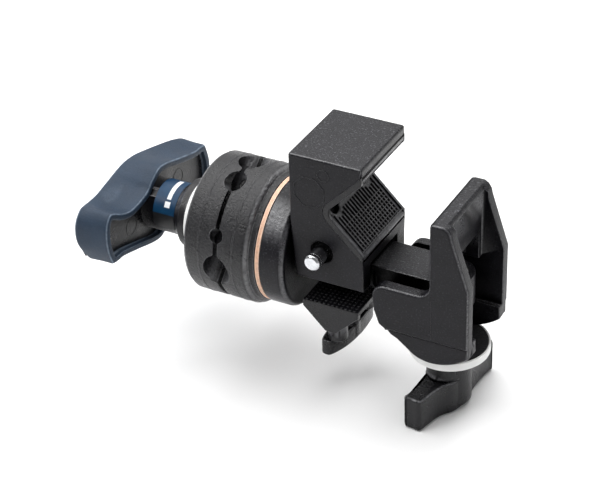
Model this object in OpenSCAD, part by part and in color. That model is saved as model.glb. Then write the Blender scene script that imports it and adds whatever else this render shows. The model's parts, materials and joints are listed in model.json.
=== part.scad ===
// Super clamp with a grip head: a V-jaw tube clamp whose stud socket carries a two-plate grip head.
// Frame: origin at the theoretical apex of the fixed V jaw, at mid width. +X runs from the grip
// head towards the moving jaw, +Z is up, and the clamped tube lies along Y.

/* [Clamp body] */
// Length of the body along X
body_l = 34.2; // [33.8:0.1:34.4]
// Width of the body along Y
body_w = 41.8; // [41:0.1:42.5]
// Height of the top plate above the V apex
body_top = 25; // [24:0.1:26]
// Depth of the body's underside below the V apex
body_drop = 36.2; // [36:0.1:37]
// Thickness of the V jaw's plastic liner
liner_t = 2.8; // [2.4:0.1:3]
// Half of the V jaw's opening
mouth_half = 17.2; // [17:0.1:17.4]

/* [Stud socket] */
// Depth of the stud socket's axis below the V apex
socket_drop = 32.75; // [32.7:0.05:32.8]
// Width across the flats of the hexagonal stud
stud_af = 16; // [15.8:0.05:16]
// Largest radius of the spring lock pin
lock_pin_r = 5.2; // [5.1:0.05:5.2]
// Radius of the lock pin's chromed nose
lock_nose_r = 3.75; // [3.6:0.05:3.8]

/* [Moving jaw] */
// Distance of the moving jaw's face from the V apex
jaw_face_x = 48.1; // [48:0.1:49]
// Width of the moving jaw
jaw_w = 43.2; // [42.6:0.1:43.4]
// Thickness of each jaw cheek
cheek_t = 5.6; // [5.2:0.1:5.8]
// Place of the jaw's pivot along X
pivot_x = 30; // [29.9:0.1:30.1]
// Depth of the jaw's pivot below the V apex
pivot_drop = 43.5; // [43.4:0.1:43.6]
// Radius of the pivot pin
pivot_r = 4; // [3.8:0.1:4.2]
// Lever arm of the closing screw about the pivot
cam_r = 18.5; // [18.4:0.1:18.6]
// Outer radius of the thrust washer under the jaw
washer_r = 18; // [17.6:0.1:18.4]
// Radius of the closing screw
screw_r = 5; // [4.8:0.1:5]

/* [Grip head] */
// Radius of the two gripping plates
plate_r = 31.75; // [31.5:0.05:32]
// Radius of the back plate
back_r = 28.9; // [28:0.1:30]
// Gap between the two gripping plates
plate_gap = 1.4; // [1.2:0.1:1.6]
// Radius of the through bolt
bolt_r = 4; // [3.8:0.1:4]
// Radius of the handle's hub
hub_r = 12; // [11.5:0.1:12.2]
// Length of the large T-handle from the axis to its end
bar_half = 42.5; // [40:0.5:44]

/* [Small handles] */
// Reach of the closing screw's T-handle from its axis
knob_half = 29; // [27:0.1:29]
// Reach of the stud lock lever from its axis
lever_half = 19; // [16:0.1:19.5]

/* [Hidden] */
$fn = 64;

black_cast = "#1f2023";
black_plastic = "#17181a";
blue_rubber = "#485c73";

half_l = body_l / 2;
half_w = body_w / 2;
liner_shift = liner_t * sqrt(2);      // liner thickness measured along X
mouth_x = mouth_half;                 // where the 45 degree flanks end
apex_round = 3.4;                     // inner rounding of the V
back_round = 6.4;                     // rounding of the seat behind the liner
socket_z = -socket_drop;
stud_r = stud_af / 2;
boss_r = 12;                          // round housing of the stud socket
boss_bottom = -46;
socket_end = 10;
groove_r = 6.3;                       // waist of the stud that the lock pin drops into
groove_half = 6;

pin_x = -2.2;                         // lock pin axis, along Y
pin_z = socket_z + stud_r + 4.15;
pin_reach = 10;                       // how far the nose stands out of the front face
pin_travel = 9;
pin_waist_end = -3.7;
pin_collar = 1.3;
pin_shoulder = -15.9;
pin_tail = 8;
pin_hollow = 10;                      // depth of the pin's bore for its spring
pin_tip = 0.8;                        // chamfer of the pin's nose
running = 0.05;                       // radial clearance of a running fit

pivot_z = -pivot_drop;
screw_x = pivot_x + cam_r;
cheek_in = jaw_w / 2 - cheek_t;
jaw_top = 7.6;
jaw_wall = 8;
jaw_back_x = 66.1;
jaw_bend_z = -21.8;
jaw_heel_z = -55.9;
foot_top = -29.6;
foot_left = 21.4;
foot_fillet = 6;
foot_round = 6;
cavity_top = -27.3;                   // top of the space between the feet
shoe_in = 12.6;                       // inner face of the wider shoe under each cheek
shoe_x = 38.5;
shoe_z = -50;
slot_half = 12.5;
slot_top = -13.5;
pad_half = 18;                        // recess of the moving jaw's pad
pad_low = -26;
pad_top = 4.6;
pad_sink = 1.6;
step_in = 0.8;                        // inset of the cheek's lower part
step_z = -51.6;
cam_drop = 20.2;                      // height of the pivot above the washer at rest
cam_open = -42;
cam_close = 40;
contact_gap = 0.3;

tongue_top = -27.9;
tongue_half = 10.9;
tongue_low = -39;
tongue_low_half = 6.4;
tongue_bury = 6;                      // how far the tongue runs inside the body
relief = 2.2;                         // groove round the root of the tongue
tongue_boss_r = 10.6;
tongue_boss_low = -43;
pivot_boss_r = 7.5;
bush_r = 7.5;

washer_top = pivot_z - cam_drop - contact_gap;
washer_t = 4.4;
facing_t = 1.2;
neck_r = 10;
knob_top = -79.3;
knob_t = 16.5;
knob_turn = 79.5;
screw_cap = 3.5;                      // thickness of the handle under the screw's end
screw_tip = -24;

wedge_x = 0.9;
lock_x = -1.3;                        // axis of the lock screw
lock_r = 4;
lock_boss_r = 8;
hub_boss_r = 5.6;                     // round bosses of the wedge and of the lock lever
wedge_top = -47.8;
wedge_half = 13.3;
wedge_lip = 3.2;
wedge_flat = 2.6;
post_r = 4.4;                         // short posts that stand on the lever
post_y = 13.6;
lever_top = -69;
lever_t = 8;

head_x = -17.6;                       // right-hand rim of the back plate
back_t = 11.4;
disc_t = 2.2;
middle_t = 17.3;
front_t = 16.3;
back_x = head_x - back_t;
disc_x = back_x - disc_t;
middle_right = disc_x - 0.3;
middle_left = middle_right - middle_t;
gap_x = middle_left - plate_gap / 2;
front_right = middle_left - plate_gap;
front_left = front_right - front_t;
boss_left = front_left - 4.5;
washer_left = boss_left - 3.5;
ring_left = washer_left - 4;
hub_right = ring_left - contact_gap;
bar_right = hub_right - 17.2;
bar_t = 16;
bar_turn = 11.5;
spring_seat = 7;
spring_seat_r = 6.4;
bolt_room = 11;                       // depth of the bolt's hole in the handle
nut_af = 13;
nut_t = 7;

// Grip holes: diameter, distance of the axis from the bolt, direction of that offset
grip_holes = [[16, 16.5, 319.5], [12.7, 17.66, 134.2], [9.5, 15.8, 49.5], [6.35, 9.7, 229.5]];

// ---- shared shapes -------------------------------------------------------------------------

// Extrudes an outline drawn in X and Z along Y, centred
module along_y(width) {
    rotate([90, 0, 0])
        linear_extrude(width, center = true)
            children();
}

module rod_x(radius, x_low, x_high, fn = $fn) {
    translate([x_low, 0, 0])
        rotate([0, 90, 0])
            cylinder(h = x_high - x_low, r = radius, $fn = fn);
}

module rod_y(radius, y_low, y_high) {
    translate([0, y_low, 0])
        rotate([-90, 0, 0])
            cylinder(h = y_high - y_low, r = radius);
}

// Hexagonal bar along X with a flat on top
module hex_x(across_flats, x_low, x_high) {
    translate([x_low, 0, 0])
        rotate([0, 90, 0])
            rotate([0, 0, 30])
                cylinder(h = x_high - x_low, r = across_flats / sqrt(3), $fn = 6);
}

// One stretch of an arc, as points
function arc(cx, cy, r, a0, a1, n) =
    [for (i = [0 : n]) let (a = a0 + (a1 - a0) * i / n) [cx + r * cos(a), cy + r * sin(a)]];

// A 45 degree V notch opening to +X: from its upper lip, round the corner, to its lower lip
function v_notch(apex_x, lip_x, round_r) = concat(
    [[lip_x, lip_x - apex_x]],
    arc(apex_x + round_r * sqrt(2), 0, round_r, 135, 225, 10),
    [[lip_x, apex_x - lip_x]]);

// Smooth closed curve through a list of points
function spline_point(p0, p1, p2, p3, t) =
    0.5 * ((2 * p1) + (p2 - p0) * t + (2 * p0 - 5 * p1 + 4 * p2 - p3) * t * t
           + (3 * p1 - p0 - 3 * p2 + p3) * t * t * t);
function smooth(pts, n) = let (m = len(pts))
    [for (i = [0 : m - 1]) for (j = [0 : n - 1])
        spline_point(pts[(i + m - 1) % m], pts[i], pts[(i + 1) % m], pts[(i + 2) % m], j / n)];
// Adds the half turned by 180 degrees
function twice(pts) = concat(pts, [for (p = pts) -p]);

// Wire helix about Z from z = 0 up to z = height
function ring_points(a, z, r, wire, sides) =
    [for (k = [0 : sides - 1]) let (b = 360 * k / sides, q = r + wire * cos(b))
        [q * cos(a), q * sin(a), z + wire * sin(b)]];
module coil(r, wire, height, turns, sides = 8, steps = 14) {
    n = round(turns * steps);
    points = [for (i = [0 : n]) each ring_points(360 * i / steps,
        wire + (height - 2 * wire) * i / n, r, wire, sides)];
    side_faces = [for (i = [0 : n - 1]) for (k = [0 : sides - 1]) let (k2 = (k + 1) % sides)
        [i * sides + k, (i + 1) * sides + k, (i + 1) * sides + k2, i * sides + k2]];
    first = [for (k = [0 : sides - 1]) k];
    last = [for (k = [sides - 1 : -1 : 0]) n * sides + k];
    polyhedron(points, concat(side_faces, [first, last]), convexity = 10);
}

// ---- clamp body ----------------------------------------------------------------------------

module body_outline() {
    polygon(concat(
        [[-half_l, body_top], [mouth_x, body_top]],
        v_notch(-liner_shift, mouth_x, back_round),
        [[half_l, -mouth_x - liner_shift - 0.4], [half_l, -body_drop],
         [-half_l + 1.7, -body_drop], [-half_l, -9.3]]));
}

module tongue() {
    // Bar with sides that slope in towards its underside
    rotate([90, 0, 90])
        linear_extrude(screw_x - half_l + tongue_bury)
            polygon([[-tongue_half, tongue_top], [-tongue_low_half, tongue_low],
                     [tongue_low_half, tongue_low], [tongue_half, tongue_top]]);
}

module tongue_bar() {
    translate([half_l - tongue_bury, 0, 0])
        tongue();
    translate([screw_x, 0, tongue_boss_low])
        cylinder(h = tongue_top - tongue_boss_low, r = tongue_boss_r);
    translate([pivot_x, 0, pivot_z])
        rod_y(pivot_boss_r, -tongue_half, tongue_half);
    // Web that ties the pivot boss to the bar, the socket housing and the screw boss
    along_y(2 * tongue_low_half)
        polygon([[half_l - tongue_bury, tongue_low + 2], [half_l - tongue_bury, boss_bottom + 2],
                 [pivot_x, pivot_z - pivot_boss_r + 0.2], [pivot_x + 7, tongue_boss_low],
                 [screw_x, tongue_boss_low], [screw_x, tongue_low + 2]]);
}

module pin_bore() {
    translate([pin_x, 0, pin_z]) {
        rod_y(lock_nose_r + running + 0.1, -half_w - 1, 0);
        rod_y(lock_pin_r + running, -half_w - 1, -half_w + 2.5);
        rod_y(lock_pin_r + running, pin_shoulder - 0.2, half_w + 1);
    }
}

module clamp_body() {
    color(black_cast)
        difference() {
            union() {
                along_y(body_w)
                    body_outline();
                translate([0, 0, socket_z])
                    rod_x(boss_r, -half_l + 0.6, half_l);
                translate([lock_x, 0, boss_bottom])
                    cylinder(h = 12, r = lock_boss_r);
                tongue_bar();
            }
            translate([0, 0, socket_z])
                hex_x(stud_af + 0.2, -half_l - 1, socket_end);
            pin_bore();
            translate([lock_x, 0, boss_bottom - 1])
                cylinder(h = 12, r = lock_r + running);
            // Relief round the root of the tongue
            for (side = [-1, 1])
                translate([half_l - 2, side * (tongue_half + relief / 2) - relief / 2, tongue_low])
                    cube([3, relief, tongue_top - tongue_low + relief]);
            translate([half_l - 2, -tongue_half - relief, tongue_top])
                cube([3, 2 * (tongue_half + relief), relief]);
            // Bore of the pivot pin and seat of the threaded bush
            translate([pivot_x, 0, pivot_z])
                rod_y(pivot_r, -tongue_half - 1, tongue_half + 1);
            translate([screw_x, 0, tongue_boss_low - 1])
                cylinder(h = 18, r = bush_r);
        }
}

module fixed_jaw_pad() {
    peg_r = 4;
    peg_inset = 5.4;
    color(black_plastic)
        difference() {
            along_y(body_w)
                polygon(concat(v_notch(0, mouth_x, apex_round),
                    [for (p = v_notch(-liner_shift, mouth_x, back_round + 0.1)) [p[0], -p[1]]]));
            // Round peg holes behind the apex
            for (side = [-1, 1])
                translate([-6, side * (half_w - peg_inset), 0])
                    rotate([0, 90, 0])
                        cylinder(h = 12, r = peg_r);
        }
}

// ---- moving jaw and its screw --------------------------------------------------------------

// Involute of the cam circle: point that touches the washer when the jaw has swung by angle a
function cam_point(a) = let (s = cam_drop - cam_r * a * PI / 180)
    [pivot_x + cam_r * cos(a) - s * sin(a), pivot_z - cam_r * sin(a) - s * cos(a)];

function cam_curve() = [for (a = [cam_close : -2 : cam_open]) cam_point(a)];

module cheek_outline() {
    polygon(concat(
        [[jaw_face_x + 1.2, jaw_top], [jaw_face_x, jaw_top - 1.2]],
        arc(jaw_face_x - foot_fillet, foot_top + foot_fillet, foot_fillet, 0, -90, 8),
        arc(foot_left + foot_round, foot_top - foot_round, foot_round, 90, 180, 8),
        [[foot_left + 0.6, -43], [24.3, -49.6], [27.2, -51.6], [29.6, -54.2], [32.6, -55.6],
         [35.8, -58.1]],
        cam_curve(),
        [[jaw_back_x, jaw_heel_z], [jaw_back_x, jaw_bend_z],
         [58.4, 2], [58, 4.2], [56.6, 6.4], [54.6, jaw_top]]));
}

// Space between two planes either side of the middle, from x_low rearwards and from z_high down
module below(x_low, half, z_high) {
    translate([x_low, -half, -100])
        cube([100, 2 * half, 100 + z_high]);
}

module moving_jaw() {
    color(black_cast)
        difference() {
            along_y(jaw_w)
                cheek_outline();
            // Channel behind the front wall, open at the rear and underneath
            below(jaw_face_x + jaw_wall, cheek_in, jaw_top + 1);
            // Space for the tongue between the two feet
            below(0, cheek_in, cavity_top);
            below(0, slot_half, slot_top);
            // Recess that holds the pad
            translate([jaw_face_x - 10, -pad_half, pad_low])
                cube([10 + pad_sink, 2 * pad_half, pad_top - pad_low]);
            // The lower part of each cheek is slightly narrower
            for (side = [-1, 1])
                translate([0, side * (jaw_w / 2 - step_in + 5) - 5, -100])
                    cube([90, 10, 100 + step_z]);
            // Bore of the pivot pin: blind in the front cheek, through in the rear one
            translate([pivot_x, 0, pivot_z])
                rod_y(pivot_r + running, -jaw_w / 2 + 2.6, jaw_w / 2 + 1);
        }
    // Wider shoes that ride on the washer
    color(black_cast)
        difference() {
            along_y(2 * cheek_in + 1)
                polygon(concat([[shoe_x, shoe_z]], cam_curve(), [[jaw_back_x, shoe_z]]));
            below(0, shoe_in, 0);
        }
    // Spacer ring on the inside of the front cheek
    color(black_cast)
        difference() {
            translate([pivot_x, 0, pivot_z])
                rod_y(7, -cheek_in - 0.5, -tongue_half - contact_gap);
            translate([pivot_x, 0, pivot_z])
                rod_y(pivot_r + running, -cheek_in - 1, 0);
        }
}

module moving_jaw_pad() {
    color(black_plastic)
        difference() {
            translate([jaw_face_x - 0.9, -pad_half + 0.1, pad_low + 0.1])
                cube([0.9 + pad_sink, 2 * pad_half - 0.2, pad_top - pad_low - 0.2]);
            below(jaw_face_x - 2, slot_half, slot_top);
        }
}

module pivot_pin() {
    color("silver")
        translate([pivot_x, 0, pivot_z])
            rod_y(pivot_r, -jaw_w / 2 + 2.8, jaw_w / 2 - 0.4);
}

module jaw_spring() {
    color("gray")
        translate([pivot_x, tongue_half + 0.5, pivot_z])
            rotate([-90, 0, 0])
                coil(pivot_r + 1.2, 0.4, cheek_in - tongue_half - 1, 3);
}

module screw_bush() {
    color("silver")
        translate([screw_x, 0, 0])
            difference() {
                translate([0, 0, tongue_boss_low - 1])
                    cylinder(h = tongue_top - tongue_boss_low, r = bush_r);
                translate([0, 0, tongue_boss_low - 2])
                    cylinder(h = 20, r = screw_r + running);
            }
}

module jaw_washer() {
    color("white")
        translate([screw_x, 0, washer_top - washer_t])
            difference() {
                cylinder(h = washer_t - 0.3, r = washer_r, $fn = 96);
                translate([0, 0, -1])
                    cylinder(h = 6, r = screw_r + running);
                translate([0, 0, washer_t - facing_t])
                    cylinder(h = 2, r = washer_r - 1, $fn = 96);
            }
}

module washer_facing() {
    color(black_plastic)
        translate([screw_x, 0, washer_top - facing_t])
            difference() {
                cylinder(h = facing_t, r = washer_r - 1.05, $fn = 96);
                translate([0, 0, -1])
                    cylinder(h = 4, r = screw_r + running + 0.3);
            }
}

module jaw_screw() {
    color("silver")
        translate([screw_x, 0, knob_top - knob_t + screw_cap])
            cylinder(h = screw_tip - knob_top + knob_t - screw_cap, r = screw_r);
}

knob_curve = twice([[knob_half - 0.6, 0], [knob_half - 1, 3.6], [25, 4.4], [17.5, 4.7],
                    [12.5, 5.8], [7.5, 8.2], [0, 8.4], [-9, 6.2], [-17, 4.8], [-24, 4.2],
                    [-knob_half + 0.6, 4]]);

module jaw_handle() {
    color(black_plastic)
        translate([screw_x, 0, 0])
            difference() {
                union() {
                    translate([0, 0, knob_top - knob_t])
                        rotate([0, 0, knob_turn])
                            linear_extrude(knob_t)
                                polygon(smooth(knob_curve, 4));
                    translate([0, 0, knob_top - knob_t + 1])
                        cylinder(h = washer_top - washer_t - contact_gap - knob_top + knob_t - 1,
                                 r = neck_r);
                }
                translate([0, 0, knob_top - knob_t + screw_cap])
                    cylinder(h = 40, r = screw_r);
            }
}

// ---- stud lock -----------------------------------------------------------------------------

module lock_pin() {
    color("silver")
        translate([pin_x, 0, pin_z])
            difference() {
                union() {
                    rod_y(lock_nose_r, -half_w - pin_reach + pin_tip, pin_waist_end + 1);
                    translate([0, -half_w - pin_reach, 0])
                        rotate([-90, 0, 0])
                            cylinder(h = pin_tip, r1 = lock_nose_r - pin_tip, r2 = lock_nose_r);
                    rod_y(lock_pin_r, pin_shoulder, pin_shoulder + pin_collar);
                    rod_y(lock_pin_r, pin_waist_end, pin_tail);
                }
                rod_y(3.3, pin_tail - pin_hollow, pin_tail + 1);
            }
}

module lock_pin_spring() {
    color("gray")
        translate([pin_x, pin_tail - pin_hollow + 0.1, pin_z])
            rotate([-90, 0, 0])
                coil(2.4, 0.45, half_w - 2.7 - pin_tail + pin_hollow, 8, 6, 12);
}

module lock_pin_plug() {
    color("silver")
        translate([pin_x, 0, pin_z])
            difference() {
                rod_y(lock_pin_r + running, half_w - 2.5, half_w - 0.4);
                translate([-4, half_w - 1.4, -0.6])
                    cube([8, 2, 1.2]);
            }
}

module wedge_insert() {
    low = wedge_top - wedge_lip - (wedge_half - wedge_flat);
    rib_pitch = 10.2;
    pocket_w = 8;
    pocket_l = 8.4;
    pocket_x = 9.6;
    color(black_plastic)
        translate([wedge_x, 0, 0])
            difference() {
                union() {
                    along_y(body_w)
                        polygon([[-wedge_half, wedge_top], [wedge_half, wedge_top],
                                 [wedge_half, wedge_top - wedge_lip], [wedge_flat, low],
                                 [-wedge_flat, low], [-wedge_half, wedge_top - wedge_lip]]);
                    // Boss round the lock screw and two posts, down to the lever
                    translate([lock_x - wedge_x, 0, lever_top + 1.3])
                        cylinder(h = low - lever_top + 2.5, r = hub_boss_r);
                    for (side = [-1, 1])
                        translate([0, side * post_y, lever_top + contact_gap])
                            cylinder(h = low - lever_top + 4, r = post_r);
                }
                // Pockets between the ribs of both flanks
                for (side = [-1, 1])
                    for (i = [-2 : 1])
                        translate([side * pocket_x - pocket_w / 2,
                                   (i + 0.5) * rib_pitch - pocket_l / 2, low - 1])
                            cube([pocket_w, pocket_l, wedge_top - 2.6 - low + 1]);
                translate([lock_x - wedge_x, 0, low - 10])
                    cylinder(h = 40, r = lock_r + 0.09);
            }
}

module lock_screw() {
    tip = socket_z - stud_r - contact_gap;
    color("silver")
        translate([lock_x, 0, lever_top - 4])
            cylinder(h = tip - lever_top + 4, r = lock_r);
}

lever_curve = twice([[lever_half - 0.5, 0], [lever_half - 1.6, 2.4], [11, 4.4], [4, 5.2],
                     [-4, 5], [-11, 4], [-lever_half + 1.6, 2.4]]);

module lock_lever() {
    color(black_plastic)
        translate([lock_x, 0, 0])
            difference() {
                union() {
                    translate([0, 0, lever_top - lever_t])
                        rotate([0, 0, 84])
                            linear_extrude(lever_t)
                                polygon(smooth(lever_curve, 4));
                    translate([0, 0, lever_top - lever_t + 1])
                        cylinder(h = lever_t, r = hub_boss_r);
                }
                translate([0, 0, lever_top - 4])
                    cylinder(h = 8, r = lock_r);
            }
}

// ---- grip head -----------------------------------------------------------------------------

// Places a grip head part drawn about X at the head's axis
module on_head() {
    translate([0, 0, socket_z])
        children();
}

// Round bar through the pair of plates, at its distance and direction from the bolt
module grip_hole(hole) {
    translate([gap_x, 0, 0])
        rotate([hole[2], 0, 0])
            translate([0, hole[1], 0])
                cylinder(h = 80, r = hole[0] / 2, center = true);
}

// Disc about X turned from a half outline of [distance along X, radius] points
module turned(points) {
    rotate([0, 90, 0])
        rotate_extrude($fn = 128)
            polygon([for (p = points) [p[1], p[0]]]);
}

module stud_bolt() {
    color("silver")
        on_head()
            difference() {
                union() {
                    hex_x(stud_af, back_x + 3, socket_end - 0.4);
                    rod_x(bolt_r, bar_right - bolt_room + 2.2, back_x + 4);
                }
                // Waist that the lock pin drops into
                difference() {
                    rod_x(14, pin_x - groove_half, pin_x + groove_half);
                    rod_x(groove_r, pin_x - groove_half - 1, pin_x + groove_half + 1);
                }
            }
}

module back_plate() {
    color(black_cast)
        on_head()
            difference() {
                turned([[back_x, 0], [back_x, back_r], [head_x - 2.2, back_r],
                        [head_x - 0.6, back_r - 1.2], [head_x, back_r - 2.6], [head_x, 0]]);
                hex_x(stud_af, back_x + 3, head_x + 1);
                rod_x(bolt_r, back_x - 1, back_x + 4);
            }
}

module friction_disc() {
    color("#e1a073")
        on_head()
            difference() {
                rod_x(back_r - 0.2, disc_x, back_x - 0.3, 128);
                rod_x(20, disc_x - 1, back_x + 1);
            }
}

module middle_plate() {
    color(black_cast)
        on_head()
            difference() {
                turned([[middle_left, 0], [middle_left, plate_r - 0.6],
                        [middle_left + 0.6, plate_r], [middle_right - 5.2, plate_r],
                        [middle_right - 3.6, plate_r - 0.6], [middle_right - 2.6, plate_r - 1.8],
                        [middle_right - 2.4, plate_r - 2.6], [middle_right, plate_r - 2.6],
                        [middle_right, 0]]);
                rod_x(bolt_r + running, middle_left - 1, middle_right + 1);
                rod_x(spring_seat_r, middle_left - 1, middle_left + spring_seat);
                for (hole = grip_holes)
                    grip_hole(hole);
            }
}

module front_plate() {
    color(black_cast)
        on_head()
            difference() {
                turned([[boss_left, 0], [boss_left, 16.6], [front_left, 17.5],
                        [front_left, plate_r - 3.4], [front_left + 1, plate_r - 1],
                        [front_left + 2.6, plate_r], [front_right - 0.6, plate_r],
                        [front_right, plate_r - 0.6], [front_right, 0]]);
                rod_x(bolt_r + running, boss_left - 1, front_right + 1);
                rod_x(spring_seat_r, front_right - spring_seat, front_right + 1);
                for (hole = grip_holes)
                    grip_hole(hole);
            }
}

module plate_spring() {
    color("gray")
        on_head()
            translate([front_right - spring_seat, 0, 0])
                rotate([0, 90, 0])
                    coil(5.25, 0.7, 2 * spring_seat + plate_gap, 5);
}

module grip_washer() {
    color("white")
        on_head()
            difference() {
                rod_x(17.2, washer_left, boss_left, 96);
                rod_x(bolt_r + running, washer_left - 1, boss_left + 1);
            }
}

module thrust_ring() {
    color(black_plastic)
        on_head()
            difference() {
                rod_x(16.4, ring_left, washer_left, 96);
                rod_x(bolt_r + running, ring_left - 1, washer_left + 1);
            }
}

bar_curve = twice([[bar_half, -0.9], [bar_half - 1.6, 1], [33.4, 3.4], [21.5, 10.6], [12, 15.6],
                   [4.7, 17.3], [-2.6, 15.4], [-8.1, 13], [-19.7, 13.6], [-27.3, 17.4],
                   [-33, 22.4], [-36.5, 23.6], [-41.4, 19.4], [-44, 10]]);

// Slab of the T-handle's outline between two places along X
module bar_slab(x_low, x_high, grow = 0) {
    translate([x_low, 0, 0])
        rotate([90, 0, 90])
            rotate([0, 0, bar_turn])
                linear_extrude(x_high - x_low)
                    offset(delta = grow)
                        polygon(smooth(bar_curve, 4));
}

// Crown of the palm side
module crown(x_low) {
    crown_r = 150;
    translate([x_low + crown_r, 0, 0])
        rotate([bar_turn + 90, 0, 0])
            cylinder(h = 90, r = crown_r, center = true, $fn = 360);
}

cover_wall = 3;
pocket_floor = bar_right - 3.2;
palm_x = bar_right - bar_t - 4;

module grip_handle_cover() {
    color(blue_rubber)
        on_head()
            difference() {
                intersection() {
                    bar_slab(palm_x - 1, bar_right);
                    crown(palm_x);
                }
                bar_slab(bar_right - 13, bar_right + 1, -cover_wall);
            }
}

module grip_handle_core() {
    color(black_plastic)
        on_head()
            difference() {
                union() {
                    bar_slab(bar_right - 12.9, pocket_floor, -cover_wall - 0.1);
                    rod_x(hub_r - 0.1, pocket_floor - 1, hub_right);
                }
                rod_x(bolt_r + running, bar_right - bolt_room, hub_right + 1);
                hex_x(nut_af, hub_right - nut_t, hub_right + 1);
            }
}

module grip_nut() {
    color("silver")
        on_head()
            difference() {
                hex_x(nut_af, hub_right - nut_t, hub_right - 0.2);
                rod_x(bolt_r + running, hub_right - nut_t - 1, hub_right + 1);
            }
}

module label_band() {
    color("#00305f")
        on_head()
            intersection() {
                difference() {
                    rod_x(hub_r + 0.2, bar_right + 3, hub_right - 3.2);
                    rod_x(hub_r - 0.1, bar_right + 2, hub_right - 2);
                }
                translate([bar_right, -20, -2])
                    rotate([-14, 0, 0])
                        cube([20, 40, 30]);
            }
}

clamp_body();
fixed_jaw_pad();
pivot_pin();
jaw_spring();
screw_bush();
moving_jaw();
moving_jaw_pad();
jaw_washer();
washer_facing();
jaw_screw();
jaw_handle();
lock_pin();
lock_pin_spring();
lock_pin_plug();
wedge_insert();
lock_screw();
lock_lever();
stud_bolt();
back_plate();
friction_disc();
middle_plate();
front_plate();
plate_spring();
thrust_ring();
grip_washer();
grip_handle_core();
grip_handle_cover();
grip_nut();
label_band();
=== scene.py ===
import json
import math

import bmesh
import bpy
from mathutils import Matrix, Vector


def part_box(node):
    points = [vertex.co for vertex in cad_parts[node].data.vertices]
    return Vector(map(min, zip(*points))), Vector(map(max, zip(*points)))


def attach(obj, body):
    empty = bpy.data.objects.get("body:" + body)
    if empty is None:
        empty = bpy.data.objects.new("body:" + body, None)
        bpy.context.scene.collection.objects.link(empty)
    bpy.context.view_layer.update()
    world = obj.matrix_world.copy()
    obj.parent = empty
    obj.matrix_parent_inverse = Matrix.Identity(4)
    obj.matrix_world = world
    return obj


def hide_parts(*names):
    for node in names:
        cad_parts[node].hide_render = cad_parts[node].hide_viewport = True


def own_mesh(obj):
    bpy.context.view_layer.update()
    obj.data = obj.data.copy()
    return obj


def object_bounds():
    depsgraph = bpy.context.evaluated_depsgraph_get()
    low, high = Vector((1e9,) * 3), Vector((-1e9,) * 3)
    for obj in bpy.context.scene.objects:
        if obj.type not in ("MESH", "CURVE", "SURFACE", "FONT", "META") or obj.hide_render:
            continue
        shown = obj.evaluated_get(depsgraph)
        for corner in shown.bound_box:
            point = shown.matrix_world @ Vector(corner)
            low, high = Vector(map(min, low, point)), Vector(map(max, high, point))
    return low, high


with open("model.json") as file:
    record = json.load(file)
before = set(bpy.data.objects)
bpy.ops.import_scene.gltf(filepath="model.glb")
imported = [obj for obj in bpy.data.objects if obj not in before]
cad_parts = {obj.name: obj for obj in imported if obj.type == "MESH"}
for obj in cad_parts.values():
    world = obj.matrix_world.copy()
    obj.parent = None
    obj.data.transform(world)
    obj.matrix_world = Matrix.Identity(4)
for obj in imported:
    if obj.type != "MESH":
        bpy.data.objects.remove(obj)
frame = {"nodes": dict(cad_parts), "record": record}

CAD_BOX = [list(corner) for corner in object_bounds()]
MM = 0.001
NODES = frame["nodes"]
BODY_OF = {
    node: body
    for body, nodes in frame["record"]["behaviour"]["bodies"].items()
    for node in (nodes["nodes"] if isinstance(nodes, dict) else nodes)
}
X, Y, Z = Vector((1, 0, 0)), Vector((0, 1, 0)), Vector((0, 0, 1))
HANDLE_TURN = math.radians(11.5)      # how far the large T-handle is turned from Y
TEE_TURN = math.radians(79.5)         # how far the small T-handle is turned from X
SAME_PLACE = 0.06 * MM                # points closer than this count as level with each other
WELD = 2e-6                           # points closer than this become one, in metres


# ---- meshes ---------------------------------------------------------------------------------

def loft(mesh, rings):
    """Joins rings of points with quads, and closes both ends."""
    rows = [[mesh.verts.new(point) for point in ring] for ring in rings]
    count = len(rows[0])
    for low, high in zip(rows, rows[1:]):
        for i in range(count):
            j = (i + 1) % count
            mesh.faces.new((low[i], low[j], high[j], high[i]))
    mesh.faces.new(list(reversed(rows[0])))
    mesh.faces.new(rows[-1])


def prism(mesh, outline, start, end):
    """Extrudes a list of (x, z) points along Y."""
    loft(mesh, [[Vector((x, y, z)) for x, z in outline] for y in (start, end)])


def bar(mesh, start, along, across, up, width, height, shoulder):
    """Straight rib: a trapezium of that width and height, narrower on top by shoulder each side."""
    half, top = width / 2, width / 2 - shoulder
    section = [(-half, 0), (half, 0), (top, height), (-top, height)]
    loft(mesh, [[start + along * t + across * a + up * b for a, b in section] for t in (0, 1)])


def lathe(mesh, profile, origin, axis, side, segments=48):
    """Turns (radius, distance along the axis) points about an axis into a closed ring."""
    other = axis.cross(side)
    rings = []
    for k in range(segments):
        turn = 2 * math.pi * k / segments
        out = side * math.cos(turn) + other * math.sin(turn)
        rings.append([mesh.verts.new(origin + out * r + axis * h) for r, h in profile])
    count = len(profile)
    for k in range(segments):
        now, after = rings[k], rings[(k + 1) % segments]
        for i in range(count):
            j = (i + 1) % count
            mesh.faces.new((now[i], now[j], after[j], after[i]))


def cad_mesh(node):
    """A CAD node's surface with its flat faces joined up again."""
    mesh = bmesh.new()
    mesh.from_mesh(NODES[node].data)
    bmesh.ops.remove_doubles(mesh, verts=mesh.verts, dist=WELD)
    bmesh.ops.dissolve_limit(
        mesh, angle_limit=math.radians(0.4), use_dissolve_boundaries=False,
        verts=mesh.verts, edges=mesh.edges, delimit=set(),
    )
    return mesh


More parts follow.
